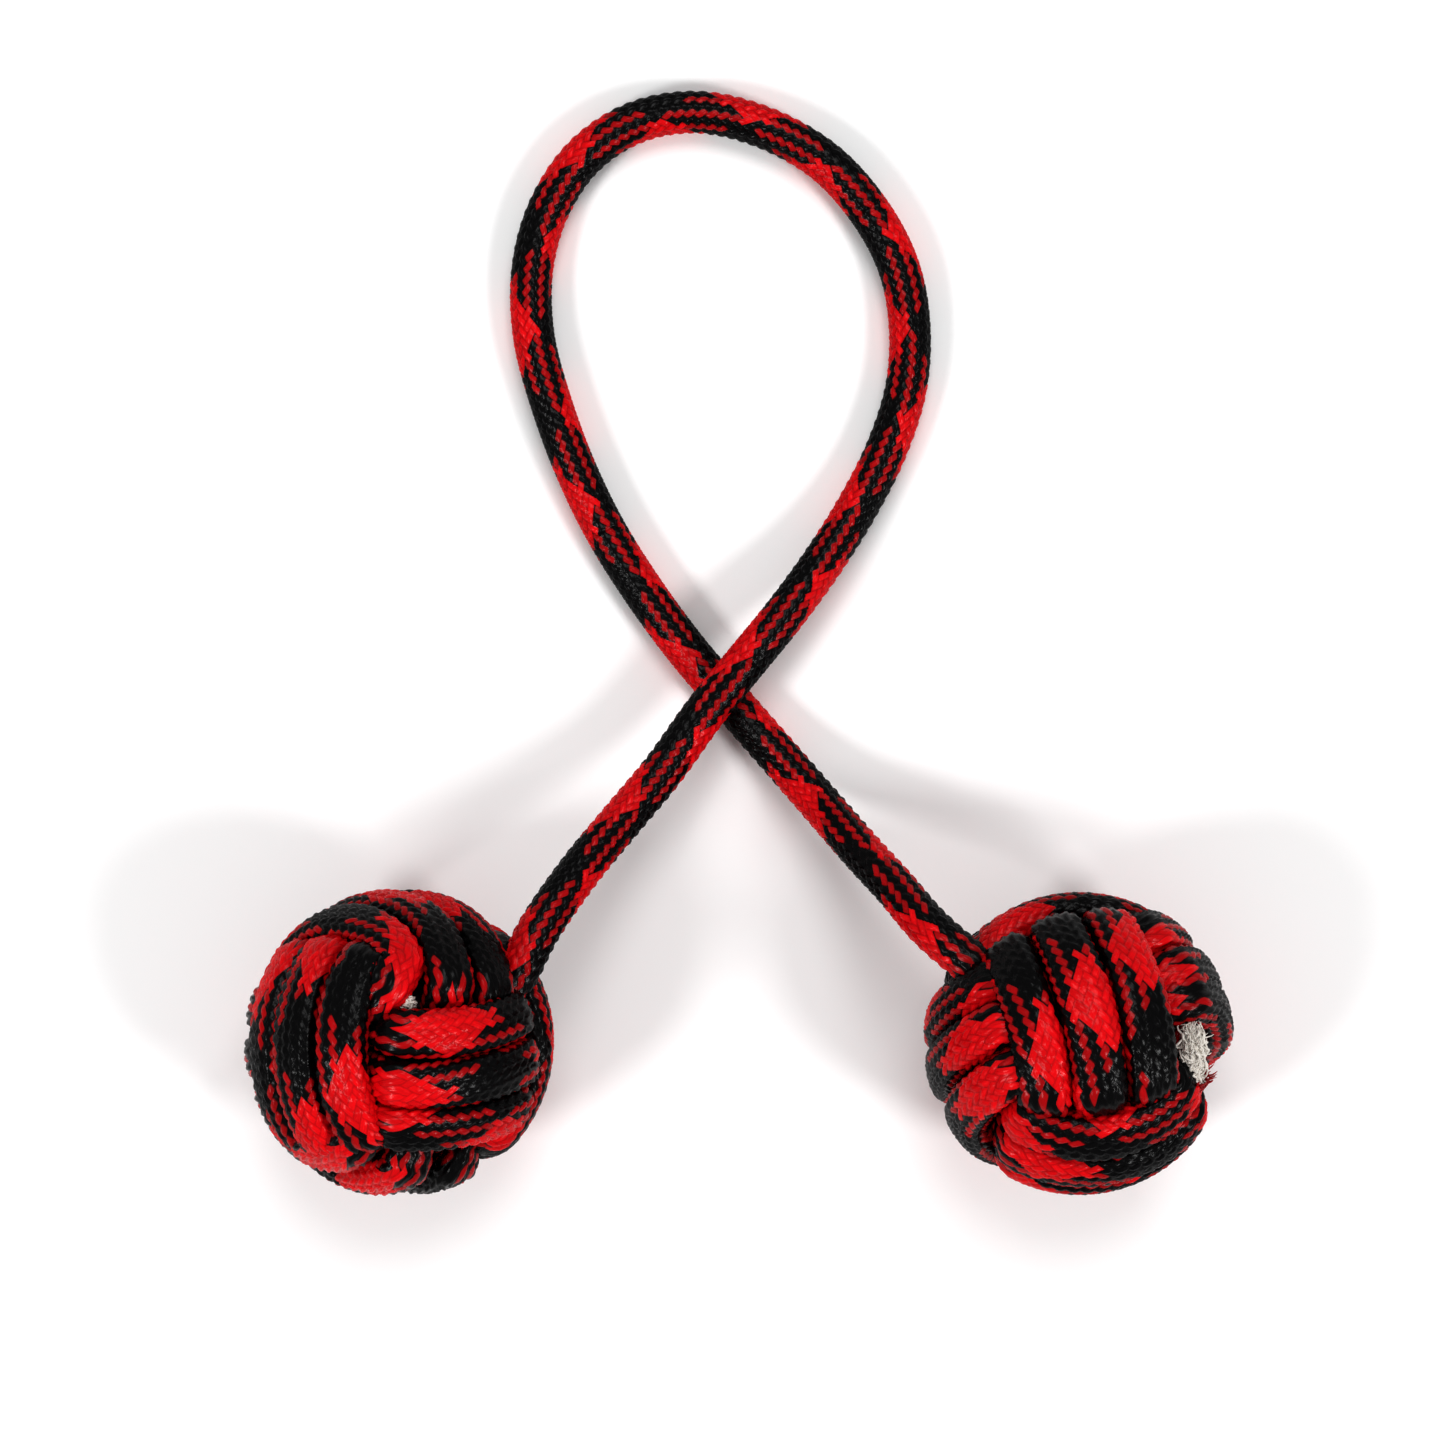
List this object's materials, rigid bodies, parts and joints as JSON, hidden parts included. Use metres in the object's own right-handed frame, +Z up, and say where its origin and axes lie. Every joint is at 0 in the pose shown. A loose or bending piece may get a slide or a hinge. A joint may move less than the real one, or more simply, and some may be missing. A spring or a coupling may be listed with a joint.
{
  "type": "begleri",
  "caption": "Begleri: a short braided cord with a round monkey's fist knot tied over a core ball at each end, lying in a crossed loop.",
  "frame": {"origin": "on the surface it lies on, midway between the two fists", "axes": "+X from the left fist to the right fist, +Y from the fists towards the loop's crown, +Z up from the surface"},
  "size_m": [0.091, 0.104, 0.0289],
  "materials": {
    "cord": "red and black braided nylon sheath, slight sheen",
    "yarn": "off-white twisted inner yarns, cut and fuzzy",
    "core": "plain blackened ball, hidden inside the knot"
  },
  "bodies": {
    "right_leg": {"right_leg": "cord", "loop_left": "cord"},
    "right_fist": {"right_core": "core", "right_first_turn_1": "cord", "right_first_turn_2": "cord", "right_first_turn_3": "cord", "right_second_turn_1": "cord", "right_second_turn_2": "cord", "right_second_turn_3": "cord", "right_third_turn_1": "cord", "right_third_turn_2": "cord", "right_third_turn_3": "cord", "right_cut_end": "cord", "right_cut_yarns": "yarn", "right_neck": "cord"},
    "loop": {"loop_crown": "cord", "loop_right": "cord"},
    "left_leg": {"left_leg_upper": "cord", "left_leg_lower": "cord"},
    "left_fist": {"left_core": "core", "left_first_turn_1": "cord", "left_first_turn_2": "cord", "left_first_turn_3": "cord", "left_second_turn_1": "cord", "left_second_turn_2": "cord", "left_second_turn_3": "cord", "left_third_turn_1": "cord", "left_third_turn_2": "cord", "left_third_turn_3": "cord", "left_cut_end": "cord", "left_cut_yarns": "yarn", "left_neck": "cord"}
  },
  "joints": [
    {"name": "right_fist_swing", "type": "hinge", "parent": "right_leg", "child": "right_fist", "pos_m": [0.0172, 0.0109, 0.0168], "axis": [0, 0, 1], "range_deg": [-40, 40]},
    {"name": "loop_open", "type": "hinge", "parent": "right_leg", "child": "loop", "pos_m": [-0.0036, 0.0875, 0.002], "axis": [0, 0, 1], "range_deg": [-6, 6]},
    {"name": "left_leg_lift", "type": "hinge", "parent": "loop", "child": "left_leg", "pos_m": [0.016, 0.0614, 0.002], "axis": [-0.9846, 0.1749, 0], "range_deg": [0, 90]},
    {"name": "left_fist_swing", "type": "hinge", "parent": "left_leg", "child": "left_fist", "pos_m": [-0.0182, 0.0106, 0.0158], "axis": [0, 0, 1], "range_deg": [-40, 40]}
  ]
}
